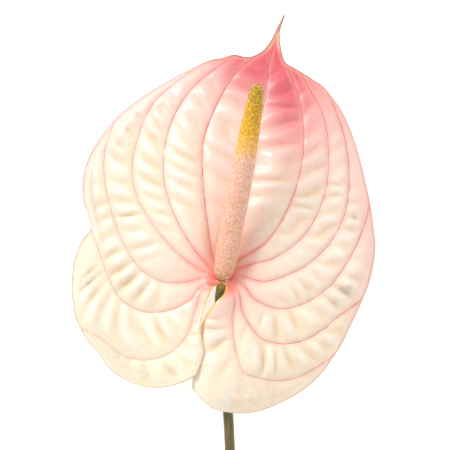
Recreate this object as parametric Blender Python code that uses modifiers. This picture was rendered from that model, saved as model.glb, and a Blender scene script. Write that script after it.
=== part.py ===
# Cut anthurium flower, lying face up on a surface: a stem, a heart-shaped spathe and a spadix.
#
# All sizes are in millimetres and turn into metres where a mesh is made.
# In plan, the node (where stem, spathe and spadix meet) is the origin: the stem runs towards -Y,
# the spathe's tip and the spadix point towards +Y, and +Z is the way that the flower faces.
# At the end an empty moves the flower, so that the origin is under the middle of its footprint.

import math

import bmesh
import bpy
import numpy as np
from mathutils import Matrix, Vector

MM = 0.001

# Stem
STEM_LENGTH = 300.0
STEM_RADIUS_AT_NODE = 2.25
STEM_RADIUS_AT_CUT = 2.7
STEM_END = (-4.0, -STEM_LENGTH)
STEM_ROUTE = [(0.0, -0.9, 17.2), (-0.9, -7.0, 14.9), (-0.5, -22.0, 12.0), (1.2, -42.0, 10.6), (2.8, -61.0, 9.6),
              (4.2, -100.0, 8.3), (4.0, -170.0, 6.4), (0.5, -240.0, 4.4)]
STEM_POINTS = 26
CUT_SLANT = math.radians(-32)

# Node, and the heights above the surface that the flower lies on
NODE_HEIGHT = 17.2
NODE_TILT = math.radians(10)
COLLAR_RADIUS = 3.15
COLLAR_TURN = math.radians(171)

# Spadix
SPADIX_START = 0.9
SPADIX_REACH = 88.0
SPADIX_LEAN = math.radians(10.4)
SPADIX_RISE = math.radians(20)
SPADIX_PROFILE = [(0.0, 2.3), (0.012, 3.5), (0.035, 4.4), (0.08, 4.8), (0.25, 5.0), (0.5, 5.15), (0.72, 4.65),
                  (0.8, 4.25), (0.9, 3.6), (0.96, 2.9), (0.985, 2.0), (1.0, 0.0)]
FLORETS_AROUND = 9
FLORET_ROWS = 21
FLORET_RELIEF = 0.3
FLORET_TWIST = math.radians(1.6)

# Spathe: the margin in plan. The first number is the place among the veins, from 0 at the left edge of
# the sinus (the cleft at the stem) through 7 at the midrib to 14 at the sinus's right edge.
SPATHE_THICKNESS = 0.9
MARGIN = [
    (0.0, -12.0, -43.0), (0.2, -18.5, -46.5), (0.4, -28.5, -49.0), (0.57, -38.5, -48.0), (0.72, -48.0, -43.5),
    (0.82, -54.5, -37.5), (0.86, -56.0, -34.0), (0.93, -61.0, -29.0), (1.02, -66.0, -20.5), (1.2, -68.5, -10.0),
    (1.5, -69.0, 1.0), (1.83, -66.5, 13.0), (1.96, -63.0, 20.0), (2.0, -60.3, 23.0), (2.06, -60.8, 27.5),
    (2.25, -63.5, 36.0), (2.5, -63.5, 49.0), (2.75, -58.5, 61.5), (3.0, -49.0, 74.0), (3.3, -35.5, 85.0),
    (3.65, -20.0, 94.0), (4.0, -8.0, 100.0), (4.5, 0.0, 102.0), (5.0, 5.5, 103.5), (5.5, 11.0, 102.5),
    (6.0, 15.5, 103.5), (6.4, 20.0, 106.5), (6.7, 23.5, 111.5), (6.9, 26.0, 117.0), (7.0, 29.0, 122.5),
    (7.1, 27.0, 116.5), (7.3, 26.6, 111.0), (7.6, 27.2, 106.0), (8.0, 28.5, 101.0), (8.5, 32.5, 98.0),
    (9.0, 36.0, 96.0), (9.5, 41.5, 92.5), (10.0, 48.5, 87.0), (10.3, 55.0, 78.0), (10.6, 60.5, 65.5),
    (10.85, 65.0, 49.5), (11.0, 68.0, 36.0), (11.2, 69.5, 26.0), (11.5, 70.5, 14.0), (11.82, 67.5, -2.0),
    (12.0, 64.8, -8.5), (12.2, 62.0, -15.0), (12.45, 59.0, -21.0), (13.0, 52.0, -34.0), (13.3, 42.0, -46.5),
    (13.5, 30.0, -54.5), (13.75, 8.5, -60.5), (13.88, -4.5, -58.0), (14.0, -13.5, -49.0),
]

# Spathe: the veins in plan, from the collar outwards. Each ends at the margin.
VEINS = [
    ("left sinus edge", [(-4.6, -3.6), (-6.4, -7.4), (-8.5, -12.8), (-9.5, -18.5), (-9.4, -25.0), (-8.5, -33.0)]),
    ("left lobe vein", [(-8.2, -3.6), (-11.8, -12.6), (-15.8, -25.0), (-24.0, -33.5), (-37.5, -36.5), (-49.0, -32.5),
                         (-57.0, -26.0), (-62.5, -20.0)]),
    ("left notch vein", [(-8.5, -2.0), (-14.5, -9.0), (-25.0, -14.0), (-37.0, -14.0), (-46.0, -9.0), (-51.0, -1.0),
                         (-54.5, 8.5), (-57.3, 16.5)]),
    ("left outer vein", [(-8.5, 1.0), (-15.5, -0.5), (-26.0, -1.0), (-37.0, 5.0), (-44.0, 15.0), (-50.5, 31.5),
                         (-54.0, 48.5), (-53.5, 60.5)]),
    ("left third vein", [(-7.5, 3.5), (-15.5, 8.5), (-26.0, 18.5), (-34.5, 30.0), (-39.5, 40.5), (-41.0, 51.5),
                         (-38.0, 66.5), (-30.0, 83.0), (-19.5, 92.0)]),
    ("left second vein", [(-6.0, 6.0), (-12.5, 14.0), (-20.0, 26.5), (-26.0, 43.5), (-26.5, 57.5), (-23.0, 72.5),
                          (-14.0, 87.5), (-3.0, 97.0)]),
    ("left first vein", [(-4.0, 9.0), (-6.0, 22.0), (-8.5, 43.5), (-8.5, 63.5), (-3.5, 78.0), (3.5, 91.0),
                         (9.5, 98.5)]),
    ("midrib", [(2.0, 8.5), (8.5, 37.0), (16.0, 69.0), (19.8, 83.0), (21.3, 94.5), (22.8, 103.0),
                (24.2, 108.8), (25.3, 113.6), (27.1, 118.6)]),
    ("right first vein", [(6.0, 7.5), (20.0, 17.5), (31.5, 36.0), (36.5, 53.0), (37.5, 69.0), (35.0, 85.0),
                          (30.5, 96.5)]),
    ("right second vein", [(8.0, 5.0), (24.5, 10.5), (38.0, 21.0), (46.5, 37.0), (49.0, 57.5), (46.0, 77.5),
                           (39.0, 90.0)]),
    ("right third vein", [(8.5, 1.5), (18.5, -0.5), (31.5, 3.0), (44.0, 11.0), (54.5, 25.5), (58.5, 46.0),
                          (56.5, 65.5), (51.0, 80.5)]),
    ("right outer vein", [(8.5, -1.5), (15.0, -8.5), (26.5, -13.0), (38.0, -10.5), (49.5, -2.5), (60.0, 12.5),
                          (66.0, 27.5)]),
    ("right notch vein", [(7.0, -4.5), (9.2, -13.8), (12.9, -20.7), (18.4, -26.7), (26.7, -29.0), (33.6, -28.5), (40.5, -26.2),
                          (47.4, -21.6), (54.3, -16.1)]),
    ("right lobe vein", [(5.0, -5.5), (5.0, -19.5), (6.6, -33.0), (10.5, -42.5), (16.6, -46.5), (24.4, -46.9), (32.2, -45.5),
                         (39.6, -42.0), (46.0, -38.0)]),
    ("right sinus edge", [(1.8, -2.6), (1.2, -5.6), (-2.8, -10.0), (-6.8, -15.5), (-9.6, -22.0), (-12.0, -34.0)]),
]
MIDRIB = 7
CUSP_BEND = (0.92, 0.84)
RIGHT_EDGE = 14
BAND_COLUMNS = [7, 7, 7, 6, 4, 4, 3, 3, 4, 4, 5, 7, 8, 8]
BAND_CROWDING = {6: -1.25, 7: 1.25, 13: -1.3}
ROWS = 34
UNFOLDING_STEPS = 400
UNFOLDING_SINE = 0.12

# Spathe: the dome that it is, and what departs from the dome
DOME_CENTRE = (0.7, 8.0)
DOME_HALF_SIZE = (71.0, 95.0)
RIM_HEIGHT = 1.6
DOME_RISE = 16.0
LOBE_LIFT = 10.5
LOBE_LIFT_HALF_WIDTH = 32.0
SINUS_RAISE = 3.0
NODE_MOUND = 2.2
LOBE_OVERLAP = 1.6
EDGE_REACH = 8.0
MIDRIB_VALLEY = 6.0
TIP_CURL = 9.0
CUSP_CHANNEL = 1.4
MARGIN_ROLL = 1.6
NOTCH_STEP = 2.2
PUFF = 0.085
PUFF_LIMIT = 1.5
CUSHION_LENGTH = 15.0
CUSHION_DEPTH = 0.3
SIDE_LEAN = -0.009

# Colours and finish: red, green, blue, roughness
STEM_FINISH = (0.16, 0.17, 0.05, 0.45)
SPATHE_FINISH = (0.92, 0.74, 0.62, 0.3)
SPADIX_FINISH = (0.86, 0.55, 0.36, 0.5)


def smooth_step(low, high, value):
    """0 below low, 1 above high, and an S-curve between them."""
    t = np.clip((value - low) / (high - low), 0.0, 1.0)
    return t * t * (3 - 2 * t)


def curve_through(knots, points, at):
    """A smooth curve through points, which it passes at the knots: piecewise cubics with
    slopes from the neighbouring points. It is read at the values in at."""
    knots, points, at = (np.asarray(a, float) for a in (knots, points, at))
    slopes = np.gradient(points, knots, axis=0)
    i = np.clip(np.searchsorted(knots, at, side="right") - 1, 0, len(knots) - 2)
    step = (knots[i + 1] - knots[i])
    t = (at - knots[i]) / step
    shape = (slice(None),) + (None,) * (points.ndim - 1)
    t, step = t[shape], step[shape]
    return ((2 * t**3 - 3 * t**2 + 1) * points[i] + (t**3 - 2 * t**2 + t) * step * slopes[i]
            + (3 * t**2 - 2 * t**3) * points[i + 1] + (t**3 - t**2) * step * slopes[i + 1])


def even_curve(points, count, bend=(0.5, 0.5)):
    """The smooth curve through points, as count points evenly spaced along it. With another bend,
    the first share of the points takes up the second share of the length."""
    points = np.asarray(points, float)
    knots = np.concatenate([[0], np.cumsum(np.linalg.norm(np.diff(points, axis=0), axis=1))])
    fine = curve_through(knots, points, np.linspace(0, knots[-1], 600))
    length = np.concatenate([[0], np.cumsum(np.linalg.norm(np.diff(fine, axis=0), axis=1))])
    at = np.interp(np.linspace(0, 1, count), [0, bend[0], 1], [0, bend[1] * length[-1], length[-1]])
    return np.stack([np.interp(at, length, fine[:, k]) for k in range(fine.shape[1])], axis=1)


def column_places():
    """The places of the blade's columns among the veins: every vein, and some between each two."""
    places = []
    for band, count in enumerate(BAND_COLUMNS):
        t = np.arange(count) / count
        crowding = BAND_CROWDING.get(band, 1.0)
        t = t**crowding if crowding > 0 else 1 - (1 - t) ** -crowding
        places.extend(band + t)
    return np.array(places + [float(RIGHT_EDGE)])


def collar_points(places):
    """Where each column starts on the ring round the node: the midrib at its back, which is below,
    and the sinus's edges in front, which is above."""
    turn = (places - MIDRIB) / MIDRIB * COLLAR_TURN
    x = COLLAR_RADIUS * np.sin(turn)
    down = COLLAR_RADIUS * np.cos(turn)
    return np.stack([x, down * math.sin(NODE_TILT), NODE_HEIGHT - down * math.cos(NODE_TILT)], axis=1)


def blade_plan(places, rows):
    """The blade in plan, as an array of columns by rows: the veins, the columns between them as
    smooth curves across the veins, and a correction that grows outwards and ends on the margin."""
    collar = collar_points(np.arange(RIGHT_EDGE + 1.0))
    margin = np.array(MARGIN)
    ends = curve_through(margin[:, 0], margin[:, 1:], np.arange(RIGHT_EDGE + 1.0))
    veins = []
    for k, (_, route) in enumerate(VEINS):
        bend = CUSP_BEND if k == MIDRIB else (0.5, 0.5)
        veins.append(even_curve([collar[k, :2], *route, ends[k]], rows, bend))
    plan = across_veins(np.array(veins), places)
    outward = np.linspace(0, 1, rows)[None, :, None]
    start_gap = collar_points(places)[:, None, :2] - plan[:, :1]
    end_gap = curve_through(margin[:, 0], margin[:, 1:], places)[:, None] - plan[:, -1:]
    power = 3.0 + 6.0 * np.exp(-(((places - 2.2) / 0.3) ** 2))[:, None, None]
    return unfolded(plan + start_gap * (1 - outward) ** 6 + end_gap * outward**power)


def unfolded(plan):
    """The plan with its folded or nearly folded cells opened: their points move to where the grid is
    evenly spread, by Winslow's equations."""
    for _ in range(UNFOLDING_STEPS):
        over, along = np.diff(plan, axis=0), np.diff(plan, axis=1)
        near = over[:, :-1, 0] * along[:-1, :, 1] - over[:, :-1, 1] * along[:-1, :, 0]
        far = over[:, 1:, 0] * along[1:, :, 1] - over[:, 1:, 1] * along[1:, :, 0]
        sign = np.sign(np.median(near))
        size = np.linalg.norm(over[:, :-1], axis=2) * np.linalg.norm(along[:-1], axis=2)
        folded = np.minimum(near, far) * sign < UNFOLDING_SINE * size
        if not folded.any():
            break
        touched = np.zeros(plan.shape[:2], bool)
        for i in (0, 1):
            for j in (0, 1):
                touched[i:i + folded.shape[0], j:j + folded.shape[1]] |= folded
        left, right, below, above = plan[:-2, 1:-1], plan[2:, 1:-1], plan[1:-1, :-2], plan[1:-1, 2:]
        a = ((above - below) ** 2).sum(2)[..., None] + 1e-6
        c = ((right - left) ** 2).sum(2)[..., None] + 1e-6
        b = ((above - below) * (right - left)).sum(2)[..., None]
        corners = plan[2:, 2:] - plan[2:, :-2] - plan[:-2, 2:] + plan[:-2, :-2]
        even = (a * (left + right) + c * (below + above) - b * corners / 2) / (2 * (a + c))
        moved = plan[1:-1, 1:-1] * 0.5 + even * 0.5
        plan[1:-1, 1:-1] = np.where(touched[1:-1, 1:-1, None], moved, plan[1:-1, 1:-1])
    return plan


def across_veins(veins, places):
    """Smooth curves across the veins, one for each row. Slopes follow the distances between veins,
    so the curves don't overshoot where veins run close together."""
    gaps = np.linalg.norm(np.diff(veins, axis=0), axis=2)[..., None] + 0.001
    runs = np.diff(veins, axis=0) / gaps
    slopes = np.concatenate([runs[:1], (runs[:-1] * gaps[1:] + runs[1:] * gaps[:-1]) / (gaps[:-1] + gaps[1:]), runs[-1:]])
    i = np.clip(places.astype(int), 0, RIGHT_EDGE - 1)
    t = (places - i)[:, None, None]
    return ((2 * t**3 - 3 * t**2 + 1) * veins[i] + (t**3 - 2 * t**2 + t) * gaps[i] * slopes[i]
            + (3 * t**2 - 2 * t**3) * veins[i + 1] + (t**3 - t**2) * gaps[i] * slopes[i + 1])


def blade_height(plan, places):
    """The blade's height above the surface, before its relief."""
    x, y = plan[..., 0], plan[..., 1]
    out = np.linspace(0, 1, plan.shape[1])[None, :]
    place = places[:, None] + 0 * out
    inside = 1 - ((x - DOME_CENTRE[0]) / DOME_HALF_SIZE[0]) ** 2 - ((y - DOME_CENTRE[1]) / DOME_HALF_SIZE[1]) ** 2
    inside = (inside + np.sqrt(inside**2 + 0.04)) / 2
    z = RIM_HEIGHT + DOME_RISE * inside + SIDE_LEAN * x
    # The blade rises round the node, the lobes ride over the stem, and the sinus's edges stand up.
    z += NODE_MOUND * np.exp(-((x / 9) ** 2) - (((y + 7) / 8) ** 2))
    z += LOBE_LIFT * np.exp(-(((x - 3) / LOBE_LIFT_HALF_WIDTH) ** 2)) * smooth_step(5, 50, -y)
    widths = np.linalg.norm(np.diff(plan, axis=0), axis=2)
    nothing = np.zeros((1, plan.shape[1]))
    from_left = np.concatenate([nothing, np.cumsum(widths, axis=0)])
    from_right = np.concatenate([np.cumsum(widths[::-1], axis=0)[::-1], nothing])
    edge = np.exp(-((from_left / EDGE_REACH) ** 2)) + np.exp(-((from_right / EDGE_REACH) ** 2))
    z += SINUS_RAISE * edge * smooth_step(0.02, 0.3, out) * (1 - 0.75 * smooth_step(0.35, 1.0, out))
    # The left lobe lies over the right one.
    lap = smooth_step(8, 22, -y)
    z += LOBE_OVERLAP * lap * (np.exp(-((from_left / EDGE_REACH) ** 2)) - np.exp(-((from_right / EDGE_REACH) ** 2)))
    # A valley along the midrib, under the spadix.
    across = (x - 0.23 * y) / 13
    z -= MIDRIB_VALLEY * np.exp(-(across**2)) * smooth_step(-8, 4, y) * (1 - 0.65 * smooth_step(15, 75, y))
    # The tip curls up, and its edges more than its midrib.
    z += TIP_CURL * smooth_step(95, 124, y) ** 1.3
    z += CUSP_CHANNEL * smooth_step(88, 104, y) * np.clip(np.abs(place - MIDRIB), 0, 1) * out**4
    # The margin rolls down, and steps at the left notch.
    z -= MARGIN_ROLL * smooth_step(0.9, 1.0, out) * smooth_step(0.3, 1.2, place) * smooth_step(112, 90, y)
    z += NOTCH_STEP * smooth_step(0.55, 1.0, out) * np.sin(np.pi * np.clip((place - 2) / 0.75, -1, 1))
    # The collar's own height near the node.
    collar = collar_points(places)[:, None, 2]
    start = collar_points(places)[:, None, :2]
    near = np.exp(-((np.linalg.norm(plan - start, axis=2) / 4.5) ** 2))
    return z * (1 - near) + collar * near


def blade_relief(plan, places):
    """The blade between each two veins is puffed up, in cushions that slant across the band."""
    rows = plan.shape[1]
    out = np.linspace(0, 1, rows)[None, :]
    veins = plan[places == np.round(places)]
    widths = np.linalg.norm(np.diff(veins, axis=0), axis=2)
    band = np.clip(places.astype(int), 0, RIGHT_EDGE - 1)
    across = (places - band)[:, None]
    width = widths[band]
    lengths = np.linalg.norm(np.diff(plan, axis=1), axis=2).sum(axis=1)[:, None]
    puff = np.minimum(PUFF * width, PUFF_LIMIT) * np.sin(np.pi * across)
    slant = np.where(places < MIDRIB, 1.0 - across[:, 0], across[:, 0])[:, None] * 0.9
    wander = 0.16 * np.sin(2.3 * band[:, None] + 9.0 * out) + 0.37 * band[:, None]
    cushions = np.cos(2 * np.pi * (out * lengths / CUSHION_LENGTH - slant + wander))
    grown = smooth_step(0.06, 0.3, out) * (1 - smooth_step(0.7, 0.95, out))
    return puff * grown * (1 - CUSHION_DEPTH + CUSHION_DEPTH * cushions)


def grid_triangles(columns, rows, wrapped=False):
    """Index triples that cover a grid of columns by rows, wound the same way throughout."""
    index = np.arange(columns * rows).reshape(columns, rows)
    a = index if wrapped else index[:-1]
    b = np.roll(index, -1, axis=0) if wrapped else index[1:]
    corners = [part[:, s].ravel() for part, s in ((a, slice(0, -1)), (b, slice(0, -1)), (b, slice(1, None)),
                                                   (a, slice(1, None)))]
    odd = np.add.outer(np.arange(len(a)), np.arange(rows - 1)).ravel() % 2 == 1
    one = np.where(odd[:, None], np.stack(corners, 1)[:, [0, 1, 3]], np.stack(corners, 1)[:, [0, 1, 2]])
    two = np.where(odd[:, None], np.stack(corners, 1)[:, [1, 2, 3]], np.stack(corners, 1)[:, [0, 2, 3]])
    return np.concatenate([one, two])


def mesh_object(name, points, faces, finish, collection):
    """An object from points in millimetres and index triples, with its own material."""
    mesh = bpy.data.meshes.new(name)
    mesh.from_pydata((np.asarray(points) * MM).tolist(), [], np.asarray(faces).tolist())
    mesh.update()
    made = bpy.data.objects.new(name, mesh)
    made.data.materials.append(material(name, finish))
    collection.objects.link(made)
    return made


def material(name, finish):
    """A plain Principled material."""
    made = bpy.data.materials.new(name)
    made.use_nodes = True
    shader = made.node_tree.nodes["Principled BSDF"]
    shader.inputs["Base Color"].default_value = (*finish[:3], 1.0)
    shader.inputs["Roughness"].default_value = finish[3]
    return made


def recalculate_normals(mesh):
    """Faces pointing out of a closed mesh."""
    work = bmesh.new()
    work.from_mesh(mesh)
    bmesh.ops.recalc_face_normals(work, faces=work.faces)
    work.to_mesh(mesh)
    work.free()


def make_spathe(collection):
    """The heart-shaped blade: one surface from the collar to the margin, with a thickness."""
    places = column_places()
    plan = blade_plan(places, ROWS)
    z = blade_height(plan, places) + blade_relief(plan, places)
    points = np.dstack([plan, z]).reshape(-1, 3)
    spathe = mesh_object("spathe", points, grid_triangles(len(places), ROWS), SPATHE_FINISH, collection)
    wall = spathe.modifiers.new("thickness", "SOLIDIFY")
    wall.thickness = SPATHE_THICKNESS * MM
    wall.offset = 0.0
    wall.use_even_offset = False
    spathe.data.shade_smooth()
    return spathe, points[:, 2].min() - SPATHE_THICKNESS / 2


def make_spadix(collection):
    """The rod of florets: a tapering body whose surface is raised into diamonds in spiral rows."""
    around, rows = 4 * FLORETS_AROUND, 4 * FLORET_ROWS
    profile = np.array(SPADIX_PROFILE)
    along = np.interp(np.linspace(0, 1, rows + 1), [0, 0.08, 0.9, 1.0], [0, 0.05, 0.93, 1.0])[:-1]
    radius = np.interp(along, profile[:, 0], profile[:, 1])
    column, row = np.meshgrid(np.arange(around), np.arange(rows), indexing="ij")
    angle = column * 2 * math.pi / around + FLORET_TWIST * row
    florets = np.cos(column * math.pi / 2) * np.cos(row * math.pi / 2)
    reach = radius + FLORET_RELIEF * florets * smooth_step(2.2, 3.6, radius)
    length = SPADIX_REACH / math.cos(SPADIX_LEAN) / math.cos(SPADIX_RISE)
    local = np.stack([reach * np.cos(angle), reach * np.sin(angle), along * length + 0 * angle], axis=2)
    points = np.concatenate([local.reshape(-1, 3), [[0, 0, 0], [0, 0, length]]])
    ring = np.arange(around) * rows
    following = np.roll(ring, -1)
    base, tip = around * rows, around * rows + 1
    faces = [grid_triangles(around, rows, wrapped=True)]
    faces.append(np.stack([following, ring, np.full(around, base)], 1))
    faces.append(np.stack([ring + rows - 1, following + rows - 1, np.full(around, tip)], 1))
    spadix = mesh_object("spadix", points, np.concatenate(faces), SPADIX_FINISH, collection)
    recalculate_normals(spadix.data)
    axis = Vector((math.sin(SPADIX_LEAN) * math.cos(SPADIX_RISE), math.cos(SPADIX_LEAN) * math.cos(SPADIX_RISE),
                   math.sin(SPADIX_RISE)))
    start = Vector((0, 0, NODE_HEIGHT)) + axis * SPADIX_START
    spadix.matrix_world = Matrix.Translation(start * MM) @ axis.to_track_quat("Z", "Y").to_matrix().to_4x4()
    spadix.data.shade_smooth()
    return spadix


def make_stem(collection, cutters, lowest):
    """The stem: a tapering round rod on a slightly bowed route, cut off at a slant."""
    route = even_curve(STEM_ROUTE + [(*STEM_END, lowest + STEM_RADIUS_AT_CUT)], STEM_POINTS)
    radii = np.linspace(STEM_RADIUS_AT_NODE, STEM_RADIUS_AT_CUT, STEM_POINTS)
    curve = bpy.data.curves.new("stem", "CURVE")
    curve.dimensions = "3D"
    curve.bevel_depth = MM
    curve.bevel_resolution = 3
    curve.use_fill_caps = True
    line = curve.splines.new("POLY")
    line.points.add(len(route) - 1)
    for point, place, radius in zip(line.points, route * MM, radii):
        point.co = (*place, 1)
        point.radius = radius
    guide = bpy.data.objects.new("stem_guide", curve)
    collection.objects.link(guide)
    bpy.context.view_layer.update()
    mesh = bpy.data.meshes.new_from_object(guide.evaluated_get(bpy.context.evaluated_depsgraph_get()))
    bpy.data.objects.remove(guide)
    work = bmesh.new()
    work.from_mesh(mesh)
    bmesh.ops.remove_doubles(work, verts=work.verts, dist=0.0001 * 0.5)
    bmesh.ops.recalc_face_normals(work, faces=work.faces)
    work.to_mesh(mesh)
    work.free()
    mesh.name = "stem"
    stem = bpy.data.objects.new("stem", mesh)
    stem.data.materials.clear()
    stem.data.materials.append(material("stem", STEM_FINISH))
    collection.objects.link(stem)
    cut_stem_end(stem, cutters, route[-1])
    stem.data.shade_smooth()
    stem.data.set_sharp_from_angle(angle=math.radians(40))
    return stem


def cut_stem_end(stem, cutters, end):
    """A block that takes off the stem's last millimetres at a slant."""
    size = 24.0
    bpy.ops.mesh.primitive_cube_add(size=size * MM)
    block = bpy.context.object
    block.name = "stem_cutter"
    for holder in list(block.users_collection):
        holder.objects.unlink(block)
    cutters.objects.link(block)
    turn = Matrix.Rotation(CUT_SLANT, 4, "X")
    middle = Vector((end[0], end[1] + 2.2, end[2])) * MM
    block.matrix_world = Matrix.Translation(middle) @ turn @ Matrix.Translation(Vector((0, -size / 2, 0)) * MM)
    block.hide_render = True
    block.display_type = "WIRE"
    cut = stem.modifiers.new("slanted cut", "BOOLEAN")
    cut.operation = "DIFFERENCE"
    cut.object = block


def stand_on_origin(objects):
    """Parents the flower to an empty, and moves it so that the origin is under its footprint's middle."""
    bpy.context.view_layer.update()
    graph = bpy.context.evaluated_depsgraph_get()
    corners = []
    for each in objects:
        evaluated = each.evaluated_get(graph)
        mesh = evaluated.to_mesh()
        corners.extend(evaluated.matrix_world @ vertex.co for vertex in mesh.vertices)
        evaluated.to_mesh_clear()
    corners = np.array([tuple(c) for c in corners])
    low, high = corners.min(axis=0), corners.max(axis=0)
    root = bpy.data.objects.new("flower", None)
    bpy.context.scene.collection.objects.link(root)
    for each in objects + [o for o in bpy.data.objects if o.name == "stem_cutter"]:
        world = each.matrix_world.copy()
        each.parent = root
        each.matrix_world = world
    root.location = (-(low[0] + high[0]) / 2, -(low[1] + high[1]) / 2, -low[2])


def main():
    for each in list(bpy.data.objects):
        bpy.data.objects.remove(each)
    flower = bpy.data.collections.new("anthurium")
    cutters = bpy.data.collections.new("cutters")
    bpy.context.scene.collection.children.link(flower)
    bpy.context.scene.collection.children.link(cutters)
    spathe, lowest = make_spathe(flower)
    spadix = make_spadix(flower)
    stem = make_stem(flower, cutters, lowest)
    stand_on_origin([spathe, spadix, stem])


main()
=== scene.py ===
"""Looks of a cut anthurium flower that lies face up on a pale floor.

All shapes are worked out in millimetres in the flower's own plan: the node, where stem, spathe and
spadix meet, is the origin, +Y is the way to the spathe's tip and +Z is up. They are moved to the
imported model's place, and turned into metres, where a mesh is made.
"""

import logging
import math
from dataclasses import dataclass
from enum import Enum
from functools import cached_property
from typing import Optional, Sequence, Union

import bpy
import numpy as np
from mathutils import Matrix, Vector


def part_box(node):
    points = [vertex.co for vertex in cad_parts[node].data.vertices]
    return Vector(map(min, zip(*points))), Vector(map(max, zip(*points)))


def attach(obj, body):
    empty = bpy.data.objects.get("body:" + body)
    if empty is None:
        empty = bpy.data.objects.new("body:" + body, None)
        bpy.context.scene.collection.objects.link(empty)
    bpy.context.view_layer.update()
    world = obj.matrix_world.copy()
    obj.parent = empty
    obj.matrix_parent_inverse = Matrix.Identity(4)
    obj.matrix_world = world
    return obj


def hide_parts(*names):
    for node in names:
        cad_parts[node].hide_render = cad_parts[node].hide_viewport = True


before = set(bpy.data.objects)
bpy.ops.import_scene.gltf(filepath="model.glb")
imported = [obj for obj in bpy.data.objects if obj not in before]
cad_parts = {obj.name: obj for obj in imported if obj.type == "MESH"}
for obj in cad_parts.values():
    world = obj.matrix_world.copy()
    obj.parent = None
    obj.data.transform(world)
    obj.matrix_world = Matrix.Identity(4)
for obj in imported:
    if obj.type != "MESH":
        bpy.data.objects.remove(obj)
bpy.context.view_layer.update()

LOG = logging.getLogger("anthurium")
MM = 0.001
TINY = 1e-9
UP = (0.0, 0.0, 1.0)

Array = np.ndarray
Output = bpy.types.NodeSocket
Socket = Union[float, tuple, "Tint", Output]


class Piece(Enum):
    """The flower's pieces: each value is the CAD node that a piece replaces."""

    STEM = "stem"
    SPATHE = "spathe"
    SPADIX = "spadix"


class Tint(Enum):
    """Colours of the flower and the floor, as red, green and blue from 0 to 255."""

    IVORY = (250, 233, 216)
    GREEN_CREAM = (249, 237, 210)
    PEACH = (253, 231, 206)
    ROSE_CREAM = (253, 230, 215)
    SAND = (242, 228, 206)
    # Painted shade in the cushions' creases
    CREASE_SHADE = (245, 215, 174)
    # Painted highlight on the lit side of the cushions' crests
    CREST_HIGHLIGHT = (255, 250, 242)
    PALE_PINK = (250, 208, 198)
    ROSE = (232, 110, 122)
    DEEP_ROSE = (208, 78, 94)
    CORAL = (252, 106, 90)
    CUSP_CREAM = (246, 228, 176)
    OLIVE = (112, 108, 62)
    VEIN = (228, 128, 126)
    HALO = (248, 182, 172)
    RIM_LINE = (168, 140, 128)
    GOLD = (246, 196, 92)
    UNDERSIDE = (240, 222, 196)
    FLORET_PALE = (255, 240, 228)
    FLORET_SPECK = (118, 100, 28)
    FLORET_RUST = (216, 120, 70)
    STEM_STREAK = (136, 124, 78)
    STEM_SHADE = (72, 68, 36)
    STEM_SPECK = (176, 168, 128)
    PITH = (196, 200, 142)
    PITH_GREEN = (150, 160, 92)
    FLOOR_GREY = (252, 252, 252)
    WHITE = (255, 255, 255)

    def linear(self) -> tuple[float, float, float]:
        """The colour as a shader takes it."""
        return linear(*self.value)


def linear(red: float, green: float, blue: float) -> tuple[float, float, float]:
    """A screen's colour of 0 to 255 as the linear one of 0 to 1 that a shader takes."""
    values = (v / 255 for v in (red, green, blue))
    return tuple(v / 12.92 if v <= 0.04045 else ((v + 0.055) / 1.055) ** 2.4 for v in values)


def smooth_step(low: float, high: float, value: Array) -> Array:
    """An S-curve, 3t^2 - 2t^3 of t = (value - low) / (high - low) kept within 0 to 1."""
    t = np.clip((value - low) / (high - low), 0.0, 1.0)
    return t * t * (3 - 2 * t)


def bell(value: Array, width: float) -> Array:
    """A bell curve, exp(-(value / width)^2)."""
    return np.exp(-((value / width) ** 2))


def unit(vectors: Array) -> Array:
    """The directions of vectors that lie along the last axis."""
    return vectors / (np.linalg.norm(vectors, axis=-1, keepdims=True) + TINY)


def cubic(t: Array, first: Array, last: Array, leaving: Array, arriving: Array) -> Array:
    """Hermite's cubic from the first point, at t = 0, to the last, at t = 1, with its slopes at both."""
    return ((2 * t**3 - 3 * t**2 + 1) * first + (t**3 - 2 * t**2 + t) * leaving
            + (3 * t**2 - 2 * t**3) * last + (t**3 - t**2) * arriving)


def curve_through(knots: Array, points: Array, at: Array) -> Array:
    """A smooth curve through points, made of cubics whose slopes come from the points on each side.

    Args:
        knots: The curve parameter of each point, increasing.
        points: The points, one a row.
        at: The parameters at which to read the curve.

    Returns:
        One point for each value of at.
    """
    knots, points, at = (np.asarray(a, float) for a in (knots, points, at))
    slopes = np.gradient(points, knots, axis=0)
    i = np.clip(np.searchsorted(knots, at, side="right") - 1, 0, len(knots) - 2)
    shape = (slice(None),) + (None,) * (points.ndim - 1)
    step = (knots[i + 1] - knots[i])[shape]
    t = (at - knots[i])[shape] / step
    return cubic(t, points[i], points[i + 1], step * slopes[i], step * slopes[i + 1])


def lengths_along(line: Array) -> Array:
    """The distance along a line of each of its points."""
    return np.concatenate([[0], np.cumsum(np.linalg.norm(np.diff(line, axis=0), axis=1))])


def even_curve(points: Sequence, count: int, bend: tuple[float, float] = (0.5, 0.5)) -> Array:
    """The smooth curve through points, read at even steps along its length.

    Args:
        points: The points that the curve passes.
        count: How many points to return.
        bend: The first share of the returned points takes up the second share of the length.

    Returns:
        The points along the curve, one a row.
    """
    points = np.asarray(points, float)
    knots = lengths_along(points)
    fine = curve_through(knots, points, np.linspace(0, knots[-1], CURVE_STEPS))
    length = lengths_along(fine)
    at = np.interp(np.linspace(0, 1, count), [0, bend[0], 1], [0, bend[1] * length[-1], length[-1]])
    return np.stack([np.interp(at, length, fine[:, k]) for k in range(fine.shape[1])], axis=1)


def smoothed(lines: Array, times: int) -> Array:
    """Numbers along the last axis, averaged 1:2:1 with their neighbours several times. Ends stay."""
    lines = lines.copy()
    for _ in range(times):
        lines[..., 1:-1] = (lines[..., 2:] + 2 * lines[..., 1:-1] + lines[..., :-2]) / 4
    return lines


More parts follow.
